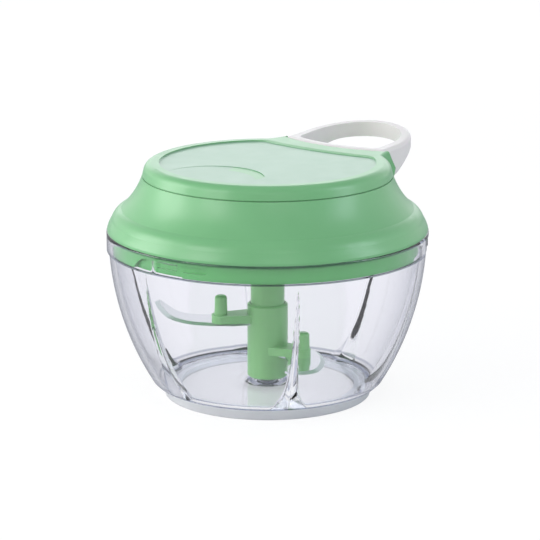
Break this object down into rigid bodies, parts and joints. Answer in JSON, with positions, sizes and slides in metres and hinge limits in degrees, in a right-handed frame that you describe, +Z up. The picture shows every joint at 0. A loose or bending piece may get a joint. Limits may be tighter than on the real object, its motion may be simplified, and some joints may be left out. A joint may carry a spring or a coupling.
{
  "type": "pull-string food chopper",
  "caption": "Hand food chopper with a clear ribbed bowl, curved steel blades on a hub, and a green lid whose docked D-shaped handle pulls a string off a spring-return reel.",
  "frame": {"origin": "centre of the flat underside of the base ring, on the bowl's axis", "axes": "+Z up along the bowl's axis; +X the way the handle is pulled; -Z is the way the base rests"},
  "size_m": [0.1405, 0.1246, 0.0957],
  "materials": {
    "clear_plastic": "clear polished plastic",
    "grey_rubber": "soft satin",
    "steel": "satin",
    "blade_steel": "polished",
    "spring_steel": "blued strip",
    "green_plastic": "moulded semi-gloss",
    "white_plastic": "moulded semi-gloss",
    "string": "braided"
  },
  "bodies": {
    "bowl": {"bowl": "clear_plastic", "base_ring": "grey_rubber", "blade_pin": "steel"},
    "blades": {"blade_hub": "green_plastic", "upper_blade": "blade_steel", "lower_blade": "blade_steel"},
    "lid": {"lid_body": "green_plastic", "top_cover": "green_plastic", "shaft_bush": "white_plastic", "bridge_plate": "white_plastic", "bridge_screws": "steel", "spring_arbor": "steel", "string_eyelet": "white_plastic", "recoil_spring": "spring_steel", "string_lead": "string"},
    "drive": {"drive_shaft": "green_plastic", "clutch_wheel": "white_plastic", "clutch_washer": "steel", "clutch_screw": "steel"},
    "reel": {"reel": "white_plastic", "spring_cover": "white_plastic", "string_coil": "string"},
    "handle": {"handle": "white_plastic", "string_knot": "string"}
  },
  "joints": [
    {"name": "lid_lift", "type": "slide", "parent": "bowl", "child": "lid", "axis": [0, 0, 1], "range_m": [0, 0.08]},
    {"name": "handle_pull", "type": "slide", "parent": "lid", "child": "handle", "axis": [1, 0, 0], "range_m": [0, 0.4], "stiffness_N_per_m": 15, "springref_m": -0.2, "deforming": ["string_lead"]},
    {"name": "reel_spin", "type": "hinge", "parent": "lid", "child": "reel", "pos_m": [0, 0, 0.08], "axis": [0, 0, 1], "range_deg": [0, 1146], "deforming": ["recoil_spring"]},
    {"name": "drive_spin", "type": "hinge", "parent": "lid", "child": "drive", "pos_m": [0, 0, 0.065], "axis": [0, 0, 1], "range_deg": [0, 1146]},
    {"name": "blade_spin", "type": "hinge", "parent": "bowl", "child": "blades", "pos_m": [0, 0, 0.02], "axis": [0, 0, 1], "range_deg": [0, 1146]}
  ],
  "couplings": [
    {"joint": "reel_spin", "follows": "handle_pull", "rad_per_m": 50},
    {"joint": "drive_spin", "follows": "handle_pull", "rad_per_m": 50},
    {"joint": "blade_spin", "follows": "handle_pull", "rad_per_m": 50}
  ]
}
